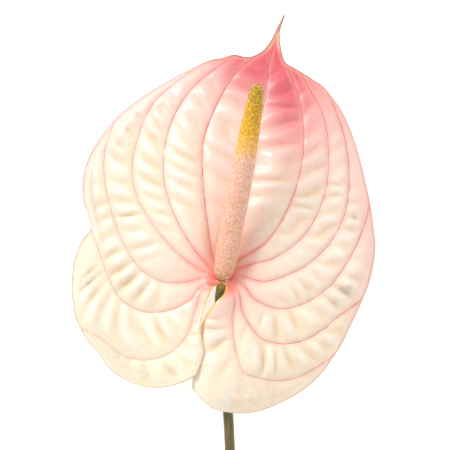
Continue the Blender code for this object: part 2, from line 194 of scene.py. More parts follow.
def wander(seed: int, at: Array, pitch: float) -> Array:
    """A smooth random line, the same on every run.

    Args:
        seed: Which line.
        at: Where to read it.
        pitch: The distance between its random knots.

    Returns:
        Values of about -1 to 1, one for each of at.
    """
    knots = np.random.default_rng(seed).uniform(-1, 1, 256)
    place = np.mod(np.asarray(at) / pitch, 255)
    i = place.astype(int)
    t = smooth_step(0, 1, place - i)
    return knots[i] * (1 - t) + knots[i + 1] * t


def distance_to_line(points: Array, line: Array) -> Array:
    """How far points are from a line of short steps.

    Args:
        points: Points in plan, in an array of any shape by x and y.
        line: The line's points, one a row.

    Returns:
        The distance from each point to the line.
    """
    start, step = line[:-1], np.diff(line, axis=0)
    squares = (step**2).sum(axis=1) + TINY
    flat = points.reshape(-1, 2)
    away = []
    for chunk in np.array_split(flat, max(1, len(flat) // 4000)):
        to_point = chunk[:, None] - start
        share = np.clip((to_point * step).sum(2) / squares, 0, 1)
        away.append(np.linalg.norm(to_point - share[..., None] * step, axis=2).min(axis=1))
    return np.concatenate(away).reshape(points.shape[:-1])


def grid_faces(index: Array) -> list:
    """Quads between the neighbours in a grid of point numbers."""
    corners = (index[:-1, :-1], index[1:, :-1], index[1:, 1:], index[:-1, 1:])
    return np.stack(corners, axis=2).reshape(-1, 4).tolist()


def fan_faces(loop: Array, tip: int) -> list:
    """Triangles from the steps of a closed loop of point numbers to one more point."""
    return np.stack([loop, np.roll(loop, -1), np.full(len(loop), tip)], axis=1).tolist()


@dataclass(frozen=True)
class Surface:
    """A closed skin in millimetres with values at its points.

    Attributes:
        points: One point a row.
        faces: Quads and triangles, as lists of corners.
        values: Named numbers or linear colours, one for each point, for the materials to read.
    """

    points: Array
    faces: list
    values: dict[str, Array]

    def build(self, piece: Piece, name: str, offset: Array, material: bpy.types.Material) -> None:
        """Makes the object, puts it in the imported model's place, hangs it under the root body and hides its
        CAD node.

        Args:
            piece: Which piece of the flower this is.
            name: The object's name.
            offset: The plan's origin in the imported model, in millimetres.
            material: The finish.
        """
        mesh = bpy.data.meshes.new(name)
        mesh.from_pydata(((self.points + offset) * MM).tolist(), [], self.faces)
        mesh.update()
        for key, numbers in self.values.items():
            kind, part = ("FLOAT", "value") if numbers.ndim == 1 else ("FLOAT_COLOR", "color")
            layer = mesh.attributes.new(key, kind, "POINT")
            layer.data.foreach_set(part, numbers.astype(np.float32).ravel())
        mesh.polygons.foreach_set("use_smooth", np.ones(len(mesh.polygons), bool))
        mesh.materials.append(material)
        made = bpy.data.objects.new(name, mesh)
        bpy.context.scene.collection.objects.link(made)
        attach(made, "root")
        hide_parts(piece.value)
        LOG.info("%s: %d points, %d faces", name, len(self.points), len(self.faces))


def tube(rings: Array, ends: Sequence, values: dict[str, tuple]) -> Surface:
    """A closed skin along a path: quads between its rings and a fan of triangles at each end.

    Args:
        rings: Points, by turn, by place along the path, by x, y and z.
        ends: The points that close its start and its end.
        values: Named numbers, by turn and place or by place, each with its values at the two ends.

    Returns:
        The skin.
    """
    count = rings.shape[0] * rings.shape[1]
    index = np.arange(count).reshape(rings.shape[:2])
    faces = grid_faces(np.vstack([index, index[:1]]))
    faces += fan_faces(index[::-1, 0], count) + fan_faces(index[:, -1], count + 1)
    spread = {}
    for key, (grid, at_ends) in values.items():
        spread[key] = np.append(np.broadcast_to(grid, index.shape), at_ends)
    return Surface(np.concatenate([rings.reshape(-1, 3), ends]), faces, spread)


@dataclass(frozen=True)
class BladeForm:
    """Sizes and heights of the spathe, in millimetres, as the CAD part has them."""

    node_height: float = 17.2
    node_tilt: float = math.radians(10)
    collar_radius: float = 3.15
    collar_turn: float = math.radians(177)
    collar_reach: float = 4.5
    dome_centre: tuple[float, float] = (0.7, 8.0)
    dome_half_size: tuple[float, float] = (71.0, 95.0)
    rim_height: float = 1.6
    dome_rise: float = 16.0
    side_lean: float = -0.009
    lobe_lift: float = 10.5
    lobe_lift_half_width: float = 32.0
    sinus_raise: float = 3.0
    node_mound: float = 2.2
    lobe_overlap: float = 1.6
    edge_reach: float = 8.0
    midrib_valley: float = 6.0
    tip_curl: float = 9.0
    cusp_channel: float = 1.4
    margin_roll: float = 1.6
    notch_step: float = 2.2
    thickness: float = 0.9
    rim_thickness: float = 0.55
    thin_rim: float = 3.0
    rim_roundness: float = 0.7


@dataclass(frozen=True)
class Quilting:
    """The relief between the veins: bands puffed up and creased into cushions.

    Attributes:
        puff: A band's height as a share of its width.
        puff_limit: The greatest height, in millimetres.
        crease: A crease's depth as a share of the height.
        ripple: The height of the fine ripples as a share of it.
        ripple_rate: How many ripples lie between two creases.
        flat_rim: How far the puffing fades in from the margin, in millimetres.
        waver: How far creases wander, as a share of their pitch.
        waver_pitch: The length over which they wander, in millimetres.
    """

    puff: float = 0.16
    puff_limit: float = 2.7
    crease: float = 1.25
    ripple: float = 0.025
    ripple_rate: float = 1.9
    flat_rim: float = 8.0
    waver: float = 0.42
    waver_pitch: float = 9.0


MARGIN = (
    (0, -12, -43), (0.2, -18.5, -46.5), (0.4, -28.5, -49), (0.57, -38.5, -48), (0.72, -48, -43.5),
    (0.82, -54.5, -37.5), (0.86, -56, -34), (0.93, -61, -29), (1.02, -66, -20.5), (1.2, -68.5, -10),
    (1.5, -69, 1), (1.83, -66.5, 13), (1.96, -63, 20), (2, -60.3, 23), (2.06, -60.8, 27.5),
    (2.25, -63.5, 36), (2.5, -63.5, 49), (2.75, -58.5, 61.5), (3, -49, 74), (3.3, -35.5, 85),
    (3.65, -20, 94), (4, -8, 100), (4.5, 0, 102), (5, 5.5, 103.5), (5.5, 11, 102.5), (6, 15.5, 103.5),
    (6.4, 20, 106.5), (6.7, 23.5, 111.5), (6.9, 26, 117), (7, 29, 122.5), (7.1, 27, 116.5),
    (7.3, 26.6, 111), (7.6, 27.2, 106), (8, 28.5, 101), (8.5, 32.5, 98), (9, 36, 96), (9.5, 41.5, 92.5),
    (10, 48.5, 87), (10.3, 55, 78), (10.6, 60.5, 65.5), (10.85, 65, 49.5), (11, 68, 36), (11.2, 69.5, 26),
    (11.5, 70.5, 14), (11.82, 67.5, -2), (12, 64.8, -8.5), (12.2, 62, -15), (12.45, 59, -21), (13, 52, -34),
    (13.3, 42, -46.5), (13.5, 30, -54.5), (13.75, 8.5, -60.5), (13.88, -4.5, -58), (14, -13.5, -49),
)
"""The spathe's margin in plan: its place among the veins, x and y. The left edge of the sinus (the
cleft at the stem) is place 0, the midrib place 7 and the sinus's right edge place 14."""


@dataclass(frozen=True)
class Vein:
    """One main vein, or an edge of the sinus.

    Attributes:
        name: What it is.
        tint: How strongly it is coloured, from 0 to 1.
        route: Its points in plan, from the collar outwards. It ends at the margin.
    """

    name: str
    tint: float
    route: tuple


VEINS = (
    Vein("left sinus edge", 0,
         ((-4.6, -3.6), (-6.4, -7.4), (-8.5, -12.8), (-9.5, -18.5), (-9.4, -25), (-8.5, -33))),
    Vein("left lobe vein", 0.3,
         ((-8.2, -3.6), (-11.8, -12.6), (-15.8, -25), (-24, -33.5), (-37.5, -36.5), (-49, -32.5),
          (-55, -27), (-60.5, -24))),
    Vein("left notch vein", 0.42,
         ((-8.5, -2), (-14.5, -9), (-25, -14), (-37, -14), (-46, -9), (-51, -1), (-54.5, 8.5),
          (-57.3, 16.5))),
    Vein("left outer vein", 0.42,
         ((-8.5, 1), (-15.5, -0.5), (-26, -1), (-37, 5), (-44, 15), (-50.5, 31.5), (-54, 48.5),
          (-53.5, 60.5))),
    Vein("left third vein", 0.55,
         ((-7.5, 3.5), (-15.5, 8.5), (-26, 18.5), (-34.5, 30), (-39.5, 40.5), (-41, 51.5), (-38, 66.5),
          (-30, 83), (-19.5, 92))),
    Vein("left second vein", 0.62,
         ((-6, 6), (-12.5, 14), (-20, 26.5), (-26, 43.5), (-26.5, 57.5), (-23, 72.5), (-14, 87.5),
          (-3, 97))),
    Vein("left first vein", 0.95,
         ((-4, 9), (-6, 22), (-8.5, 43.5), (-8.5, 63.5), (-3.5, 78), (3.5, 91), (9.5, 98.5))),
    Vein("midrib", 0.8,
         ((2, 8.5), (8.5, 37), (16, 69), (19.8, 83), (21.3, 94.5), (22.8, 103), (24.2, 108.8),
          (25.3, 113.6), (27.1, 118.6))),
    Vein("right first vein", 0.8,
         ((6, 7.5), (20, 17.5), (31.5, 36), (36.5, 53), (37.5, 69), (35, 85), (30.5, 96.5))),
    Vein("right second vein", 0.85,
         ((8, 5), (24.5, 10.5), (38, 21), (46.5, 37), (49, 57.5), (46, 77.5), (39, 90))),
    Vein("right third vein", 0.85,
         ((8.5, 1.5), (18.5, -0.5), (31.5, 3), (44, 11), (54.5, 25.5), (58.5, 46), (56.5, 65.5),
          (51, 80.5))),
    Vein("right outer vein", 0.85,
         ((8.5, -1.5), (15, -8.5), (26.5, -13), (38, -10.5), (49.5, -2.5), (60, 12.5), (66, 27.5))),
    Vein("right notch vein", 0.8,
         ((7, -4.5), (9.2, -13.8), (12.9, -20.7), (18.4, -26.7), (26.7, -29), (33.6, -28.5), (40.5, -26.2),
          (47.4, -21.6), (54.3, -16.1))),
    Vein("right lobe vein", 0.6,
         ((5, -5.5), (5, -19.5), (6.6, -33), (10.5, -42.5), (16.6, -46.5), (24.4, -46.9), (32.2, -45.5),
          (39.6, -42), (46, -38))),
    Vein("right sinus edge", 0,
         ((1.8, -2.6), (1.2, -5.6), (-2.8, -10), (-6.8, -15.5), (-9.6, -22), (-12, -34))),
)
MIDRIB = 7
RIGHT_EDGE = len(VEINS) - 1

# For each band between two veins: its creases' slant and pitch in millimetres, and its columns
BAND_SLANTS = (-0.2, -0.4, 0.1, 0.5, 0.6, 0.6, 0.5, 0.5, 0.55, 0.5, 0.4, 0.2, 0.3, 0.2)
BAND_PITCHES = (6.0, 6.2, 7.0, 7.4, 7.8, 8.6, 10.5, 10.5, 8.6, 7.8, 7.2, 7.0, 6.8, 7.0)
BAND_COLUMNS = (24, 24, 46, 30, 22, 17, 17, 17, 17, 22, 46, 26, 24, 24)

# Steps of a curve and of the margin, and the shares of the midrib's rows and length before the cusp
CURVE_STEPS = 1200
MARGIN_STEPS = 900
CUSP_BEND = (0.92, 0.84)

# Cells are eased until no corner's sine is less than this, for at most so many steps and so far round them
UNFOLDING_SINE = 0.11
UNFOLDING_STEPS = 300
UNFOLDING_SPREAD = 2

# The run along a vein: averagings of its course, steps towards a point, and averagings of the runs
COURSE_SMOOTHING = 150
RUN_STEPS = 4
RUN_SMOOTHING = 3


def margin_at(places: Array) -> Array:
    """The margin's points in plan at places among the veins."""
    margin = np.array(MARGIN)
    return curve_through(margin[:, 0], margin[:, 1:], places)


@dataclass(frozen=True)
class Between:
    """Where points are between the two veins beside them, in millimetres, in columns by rows.

    Attributes:
        to_inner: The distance to the vein of the lower place.
        to_outer: The distance to the vein of the higher place.
        run: How far along the vein nearer to the midrib they are.
    """

    to_inner: Array
    to_outer: Array
    run: Array

    @property
    def width(self) -> Array:
        """The band's width at each point."""
        return self.to_inner + self.to_outer

    @property
    def across(self) -> Array:
        """The share across the band, from the inner vein at 0 to the outer vein at 1."""
        return self.to_inner / (self.width + TINY)


@dataclass(frozen=True)
class Relief:
    """The blade's quilting, in columns by rows.

    Attributes:
        height: Its height, in millimetres.
        creases: How deep in a crease each point is, from 0 to 1; painted shade follows it.
        crests: Painted highlight: how near the lit side of a cushion's crest each point is, from 0 to 1.
    """

    height: Array
    creases: Array
    crests: Array


@dataclass
class Blade:
    """The spathe: a thin waved blade, laid out as columns among the veins by rows from collar to margin.

    Attributes:
        form: Its sizes.
        quilting: Its relief.
        rows: How many rows it has.
    """

    form: BladeForm
    quilting: Quilting
    rows: int = 128

    @cached_property
    def places(self) -> Array:
        """The columns' places among the veins, from 0 to 14, closer together near each vein."""
        places = []
        for band, count in enumerate(BAND_COLUMNS):
            t = np.arange(count) / count
            places.extend(band + 0.55 * t + 0.45 * (0.5 - 0.5 * np.cos(np.pi * t)))
        return np.array([*places, float(RIGHT_EDGE)])

    @cached_property
    def band(self) -> Array:
        """The band between two veins that each column is in, counted from 0."""
        return np.clip(self.places.astype(int), 0, RIGHT_EDGE - 1)

    @cached_property
    def out(self) -> Array:
        """Each row's share of the way out from the collar to the margin."""
        return np.linspace(0, 1, self.rows)[None, :]

    @cached_property
    def rim(self) -> Array:
        """The distance in plan from each point to the margin, in millimetres."""
        return distance_to_line(self.plan, margin_at(np.linspace(0, RIGHT_EDGE, MARGIN_STEPS)))

    def collar(self, places: Array) -> Array:
        """Where columns start on the ring round the node, the midrib below and the sinus above.

        Args:
            places: The columns' places among the veins.

        Returns:
            One point for each place: (r sin a, r cos a sin t, h - r cos a cos t) for the turn a.
        """
        form = self.form
        turn = (places - MIDRIB) / MIDRIB * form.collar_turn
        down = form.collar_radius * np.cos(turn)
        return np.stack([form.collar_radius * np.sin(turn), down * math.sin(form.node_tilt),
                         form.node_height - down * math.cos(form.node_tilt)], axis=1)

    @cached_property
    def plan(self) -> Array:
        """The blade in plan, columns by rows by x and y: its veins, cubic curves across them, and shifts
        that end on the collar and the margin."""
        whole = np.arange(RIGHT_EDGE + 1.0)
        veins = []
        for vein, place, start, end in zip(VEINS, whole, self.collar(whole), margin_at(whole)):
            bend = CUSP_BEND if place == MIDRIB else (0.5, 0.5)
            veins.append(even_curve([start[:2], *vein.route, end], self.rows, bend))
        veins = np.array(veins)
        gaps = np.linalg.norm(np.diff(veins, axis=0), axis=2)[..., None] + 0.001
        runs = np.diff(veins, axis=0) / gaps
        inner = (runs[:-1] * gaps[1:] + runs[1:] * gaps[:-1]) / (gaps[:-1] + gaps[1:])
        slopes = np.concatenate([runs[:1], inner, runs[-1:]])
        i = self.band
        t = (self.places - i)[:, None, None]
        plan = cubic(t, veins[i], veins[i + 1], gaps[i] * slopes[i], gaps[i] * slopes[i + 1])
        outward = self.out[..., None]
        start_gap = self.collar(self.places)[:, None, :2] - plan[:, :1]
        end_gap = margin_at(self.places)[:, None] - plan[:, -1:]
        # The margin's shift stays closer to the margin beside the notch, at place 2.2
        power = 3.0 + 6.0 * bell(self.places - 2.2, 0.3)[:, None, None]
        return self.unfolded(plan + start_gap * (1 - outward) ** 6 + end_gap * outward**power)

    @staticmethod
    def unfolded(plan: Array) -> Array:
        """Eases cells that fold over, or nearly: points near them move between their neighbours.

        Args:
            plan: The blade in plan.

        Returns:
            The plan with its cells open.
        """
        for step in range(UNFOLDING_STEPS):
            over, along = np.diff(plan, axis=0), np.diff(plan, axis=1)
            near = over[:, :-1, 0] * along[:-1, :, 1] - over[:, :-1, 1] * along[:-1, :, 0]
            far = over[:, 1:, 0] * along[1:, :, 1] - over[:, 1:, 1] * along[1:, :, 0]
            sign = np.sign(np.median(near))
            size = np.linalg.norm(over[:, :-1], axis=2) * np.linalg.norm(along[:-1], axis=2)
            folded = np.minimum(near, far) * sign < UNFOLDING_SINE * size
            if not folded.any():
                break
            reach = (2 * UNFOLDING_SPREAD, 2 * UNFOLDING_SPREAD)
            windows = np.lib.stride_tricks.sliding_window_view(np.pad(folded, UNFOLDING_SPREAD), reach)
            touched = windows.any(axis=(2, 3))[1:-1, 1:-1, None]
            middle = (plan[1:-1, 2:] + plan[1:-1, :-2] + plan[2:, 1:-1] + plan[:-2, 1:-1]) / 4
            plan[1:-1, 1:-1] = np.where(touched, middle, plan[1:-1, 1:-1])
        LOG.info("%d cells still folded after %d steps", int((near * sign < 0).sum()), step)
        return plan

    @cached_property
    def between(self) -> Between:
        """Each point's distances to the two veins beside it, and its run along the inner one."""
        veins = self.plan[self.places == np.round(self.places)]
        bands = []
        for k in range(RIGHT_EDGE):
            points = self.plan[self.band == k]
            to_inner, to_outer = (distance_to_line(points, vein) for vein in veins[k:k + 2])
            run = self.run_along(points, veins[k + 1] if k < MIDRIB else veins[k])
            bands.append((to_inner, to_outer, run))
        return Between(*(np.concatenate(part) for part in zip(*bands)))

    @staticmethod
    def run_along(points: Array, vein: Array) -> Array:
        """How far along a vein points are, found in steps along its smoothed direction.

        Args:
            points: Columns by rows by x and y.
            vein: The vein's points, one for each row.

        Returns:
            The run, in millimetres, columns by rows.
        """
        runs = lengths_along(vein)
        even = np.linspace(0, runs[-1], len(runs))
        course = smoothed(np.stack([np.interp(even, runs, vein[:, i]) for i in (0, 1)]), COURSE_SMOOTHING)
        along = unit(np.gradient(course, axis=1).T).T
        run = np.broadcast_to(runs, points.shape[:2]).copy()
        for _ in range(RUN_STEPS):
            ahead = sum((points[..., i] - np.interp(run, even, course[i])) * np.interp(run, even, along[i])
                        for i in (0, 1))
            run = np.clip(run + 0.5 * ahead, 0, runs[-1])
        return smoothed(run, RUN_SMOOTHING)

    @cached_property
    def edge_distances(self) -> tuple[Array, Array]:
        """How far each point is, along its row, from the sinus's left and right edges, in millimetres."""
        steps = np.linalg.norm(np.diff(self.plan, axis=0), axis=2)
        nothing = np.zeros((1, self.rows))
        from_left = np.concatenate([nothing, np.cumsum(steps, axis=0)])
        from_right = np.concatenate([np.cumsum(steps[::-1], axis=0)[::-1], nothing])
        return from_left, from_right

    def height(self) -> Array:
        """The blade's height without its quilting: a dome, and what departs from it.

        Returns:
            An array of columns by rows, in millimetres.
        """
        form, out = self.form, self.out
        x, y = self.plan[..., 0], self.plan[..., 1]
        place = self.places[:, None]
        # The dome is a bowl turned over, flattened softly where it would fall below its rim
        inside = 1 - ((x - form.dome_centre[0]) / form.dome_half_size[0]) ** 2
        inside = inside - ((y - form.dome_centre[1]) / form.dome_half_size[1]) ** 2
        inside = (inside + np.sqrt(inside**2 + 0.04)) / 2
        z = form.rim_height + form.dome_rise * inside + form.side_lean * x
        z += form.node_mound * bell(x, 9) * bell(y + 7, 8)
        z += form.lobe_lift * bell(x - 3, form.lobe_lift_half_width) * smooth_step(5, 50, -y)
        # The sinus's edges stand up near the node, and the left lobe lies over the right one
        left_edge, right_edge = (bell(edge, form.edge_reach) for edge in self.edge_distances)
        raising = smooth_step(0.02, 0.3, out) * (1 - 0.75 * smooth_step(0.35, 1.0, out))
        z += form.sinus_raise * (left_edge + right_edge) * raising
        z += form.lobe_overlap * smooth_step(8, 22, -y) * (left_edge - right_edge)
        # A valley under the spadix, the tip's curl and the channel in it
        valley = bell(x - 0.23 * y, 13) * smooth_step(-8, 4, y) * (1 - 0.65 * smooth_step(15, 75, y))
        z -= form.midrib_valley * valley
        z += form.tip_curl * smooth_step(95, 124, y) ** 1.3
        z += form.cusp_channel * smooth_step(88, 104, y) * np.clip(np.abs(place - MIDRIB), 0, 1) * out**4
        # The margin rolls down, and steps up and down on the two sides of the notch
        rolling = smooth_step(0.9, 1.0, out) * smooth_step(0.3, 1.2, place) * smooth_step(112, 90, y)
        z -= form.margin_roll * rolling
        stepping = np.sin(np.pi * np.clip((place - 2) / 0.75, -1, 1)) * smooth_step(0.55, 1.0, out)
        z += form.notch_step * stepping
        collar = self.collar(self.places)[:, None]
        near = bell(np.linalg.norm(self.plan - collar[..., :2], axis=2), form.collar_reach)
        return z * (1 - near) + collar[..., 2] * near

    @cached_property
    def relief(self) -> Relief:
        """The quilting: a band swells by sin(pi f) for the share f across it, and creases cross it.

        Creases lie where (s - slant d) / pitch, bent by a smooth random line for each band, is a whole
        number, for the run s along the band's inner vein and the distance d from that vein. Each
        has its own depth and its own part of the band's width."""
        quilting, between, band, out = self.quilting, self.between, self.band[:, None], self.out
        f = between.across
        from_vein = np.where(self.places[:, None] < MIDRIB, between.to_outer, between.to_inner)
        phase = (between.run - np.array(BAND_SLANTS)[band] * from_vein) / np.array(BAND_PITCHES)[band]
        # Bands start at different phases, and creases bow a little across a band
        phase = phase + 0.37 * band + 0.3 * (f - 0.5) ** 2
        for k in range(RIGHT_EDGE):
            rows = self.band == k
            at = between.run[rows] + 3 * f[rows]
            phase[rows] += quilting.waver * wander(30 + k, at, quilting.waver_pitch)
        number = np.clip(np.round(phase).astype(int), 0, 63)
        chance = np.random.default_rng(11).uniform(0, 1, (3, RIGHT_EDGE, 64))
        depth, centre, reach = (each[band, number] for each in chance)
        crease = 1 - np.sqrt(np.sin(np.pi * phase) ** 2 + 0.04)
        crease *= (0.5 + 0.7 * depth) * bell(f - 0.25 - 0.5 * centre, 0.4 + 0.6 * reach)
        ripple = np.sin(2 * np.pi * (phase * quilting.ripple_rate + 0.8 * f + 0.65))
        ripple *= smooth_step(0.25, 0.55, out)
        swell = np.minimum(quilting.puff * between.width, quilting.puff_limit)
        swell = swell * np.sin(np.pi * f) ** 0.75 * smooth_step(0.03, 0.22, out)
        swell = swell * (1 - 0.85 * smooth_step(quilting.flat_rim, 0, self.rim))
        # Creases fade towards the collar, and towards the margin sooner in the upper blade
        plain_rim = 4.5 + 5 * smooth_step(-10, 12, self.plan[..., 1])
        creased = smooth_step(0.14, 0.42, out) * smooth_step(0.2, 1.0, self.rim / plain_rim)
        # Painted shade in the creases follows how deep each point lies in one
        creases = np.clip(crease, 0, 1) * creased * np.sin(np.pi * f)
        # Painted highlights lie on each crest's side towards the key light
        crests = bell(np.mod(phase, 1) - 0.62, 0.17) * creased * np.sin(np.pi * f) ** 2
        height = swell * (1 - (quilting.crease * crease + quilting.ripple * ripple) * creased)
        return Relief(height, creases, crests)

    @cached_property
    def vein_distance(self) -> tuple[Array, Array]:
        """The distance from each point to the nearest main vein in millimetres, and that vein's tint."""
        tints = np.array([vein.tint for vein in VEINS])
        inner, outer = tints[self.band][:, None], tints[self.band + 1][:, None]
        to_inner = np.where(inner > 0, self.between.to_inner, 99.0)
        to_outer = np.where(outer > 0, self.between.to_outer, 99.0)
        return np.minimum(to_inner, to_outer), np.where(to_inner < to_outer, inner, outer)

    def ground(self) -> Array:
        """The blade's colour without its veins: cream, blushing at the tip, the node and the right margin,
        with painted shade in the creases and on the left side and painted highlights on the crests.

        Returns:
            Linear colours, columns by rows by red, green, blue and an opacity of 1.
        """
        x, y, rim = self.plan[..., 0], self.plan[..., 1], self.rim
        from_node = np.hypot(x, y)
        from_vein = self.vein_distance[0]
        # Each wash has its tint and how much of it lies over the washes before it
        washes = (
            (Tint.IVORY, np.ones(x.shape)),
            (Tint.GREEN_CREAM, 0.85 * smooth_step(8, -18, x) * smooth_step(5, -30, y)),
            (Tint.PEACH, 0.85 * smooth_step(-12, 12, x) * smooth_step(30, -35, y)),
            (Tint.ROSE_CREAM, 0.7 * smooth_step(15, 50, x) * smooth_step(-25, 25, y)),
            (Tint.SAND, 0.55 * bell(x + 32, 26) * bell(y - 50, 34)),
            # Painted shade darkens the left side, where the key light falls strongest
            (Tint.SAND, 0.95 * smooth_step(-16, -46, x)),
            # Painted shade: a beige tint in the creases
            (Tint.CREASE_SHADE, 0.8 * self.relief.creases),
            # Painted highlight on the lit side of the crests
            (Tint.CREST_HIGHLIGHT, 0.6 * self.relief.crests),
            (Tint.PALE_PINK, 0.75 * bell(rim, 7.5) * smooth_step(-20, 45, y + 0.4 * x)),
            (Tint.PALE_PINK, 0.8 * smooth_step(45, 90, y + 0.25 * x)),
            (Tint.PALE_PINK, 0.6 * bell(x + 2 - 0.28 * y, 10) * smooth_step(-5, 15, y)),
            (Tint.ROSE, 0.35 * bell(x - 30, 14) * smooth_step(30, 80, y)),
            (Tint.ROSE, 0.5 * bell(x - 31 + 0.1 * (y - 80), 10) * smooth_step(46, 84, y)),
            (Tint.ROSE, 0.97 * bell(x - 21, 26) * smooth_step(76, 99, y)),
            (Tint.ROSE, 0.25 * bell(x - 46, 15) * bell(y - 84, 18)),
            (Tint.DEEP_ROSE, 0.6 * bell(x - 30, 9) * bell(y - 88, 15)),
            (Tint.DEEP_ROSE, 0.45 * bell(x - 8, 9) * bell(y - 97, 9)),
            (Tint.PALE_PINK, 0.55 * bell(x + 3, 12) * bell(y - 58, 26)),
            (Tint.PALE_PINK, 0.55 * bell(from_node, 26)),
            (Tint.CORAL, 0.22 * bell(from_node, 16)),
            (Tint.CORAL, 0.5 * bell(from_vein, 1.3) * bell(from_node, 22)),
            (Tint.CORAL, 0.92 * smooth_step(9.5, 4.2, from_node)),
            (Tint.CUSP_CREAM, 0.9 * smooth_step(103, 109, y) * smooth_step(1.9, 0.8, rim)),
            (Tint.CUSP_CREAM, 0.85 * smooth_step(110, 116, y)),
            (Tint.OLIVE, 0.9 * smooth_step(115, 121, y)),
        )
        colour = np.zeros((*x.shape, 3))
        for tint, share in washes:
            share = np.clip(share, 0, 1)[..., None]
            colour = colour * (1 - share) + np.array(tint.linear()) * share
        return np.dstack([colour, np.ones(x.shape)])

    @cached_property
    def skin(self) -> Surface:
        """The blade's closed skin: its upper and lower faces, half the thickness to each side of the
        middle surface, and a rounded rim between them."""
        form, rim = self.form, self.rim
        middle = np.dstack([self.plan, self.height() + self.relief.height])
        normal = unit(np.cross(np.gradient(middle, axis=0), np.gradient(middle, axis=1)))
        edge = np.minimum(rim, np.minimum(*self.edge_distances))
        thicker = smooth_step(0, form.thin_rim, edge)
        thickness = form.rim_thickness + (form.thickness - form.rim_thickness) * thicker
        count = rim.size
        flat, away = middle.reshape(-1, 3), (normal * thickness[..., None] / 2).reshape(-1, 3)
        # The rim's loop goes once round the grid's border
        index = np.arange(count).reshape(rim.shape)
        loop = np.concatenate([index[0, :-1], index[:-1, -1], index[-1, :0:-1], index[:0:-1, 0]])
        border, forward = flat[loop], np.roll(flat[loop], -1, axis=0) - np.roll(flat[loop], 1, axis=0)
        outward = unit(np.cross(away[loop], forward))
        outward *= -np.sign((outward * (flat.mean(axis=0) - border)).sum())
        bulge = border + outward * thickness.ravel()[loop][:, None] / 2 * form.rim_roundness
        bands = np.stack([loop, 2 * count + np.arange(len(loop)), loop + count])
        faces = grid_faces(index) + grid_faces(index[:, ::-1] + count)
        faces += grid_faces(np.column_stack([bands, bands[:, :1]]))

        def spread(values: Array) -> Array:
            """Values of the middle surface as values of the upper face, the lower face and the rim."""
            each = values.reshape(count, -1).squeeze()
            return np.concatenate([each, each, each[loop]])

        y = self.plan[..., 1]
        vein, tint = self.vein_distance
        golden = bell(np.minimum(*self.edge_distances), 1.0) * smooth_step(-46, -18, y)
        pink = smooth_step(-40, 20, y + 0.5 * self.plan[..., 0])
        grids = {"vein": vein, "tint": tint, "rim": rim, "golden": golden, "pink": pink,
                 "out": np.broadcast_to(self.out, rim.shape), "ground": self.ground()}
        values = {key: spread(numbers) for key, numbers in grids.items()}
        values["upper"] = np.repeat((1.0, 0.0, 0.5), (count, count, len(loop)))
        return Surface(np.concatenate([flat + away, flat - away, bulge]), faces, values)

    def packed_offset(self) -> Array:
        """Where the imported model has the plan's origin.

        Returns:
            The offset in millimetres, from the two spathes' middles in plan and their lowest points.
        """
        low, high = (np.array(corner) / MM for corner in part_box(Piece.SPATHE.value))
        own_low, own_high = self.skin.points.min(axis=0), self.skin.points.max(axis=0)
        offset = (low + high - own_low - own_high) / 2
        offset[2] = low[2] - own_low[2]
        return offset

    def build(self, offset: Array) -> None:
        """Makes the spathe with its finish, with the plan's origin at the offset."""
        self.skin.build(Piece.SPATHE, "Spathe", offset, SpatheFinish().material())


@dataclass(frozen=True)
class SpadixForm:
    """Sizes of the spadix, in millimetres. The profile is the radius by the share of the length."""

    start: float = 0.9
    reach: float = 88.0
    lean: float = math.radians(10.4)
    rise: float = math.radians(20)
    bow: float = 0.9
    profile: tuple = ((0, 2.3), (0.012, 3.5), (0.035, 4.4), (0.08, 4.8), (0.25, 5), (0.5, 5.15), (0.72, 4.65),
                      (0.8, 4.25), (0.9, 3.6), (0.96, 2.9), (0.985, 2), (1, 0))
    florets_around: int = 21
    floret_pitch: float = 1.42
    floret_height: float = 0.28
    spiral: float = 0.035


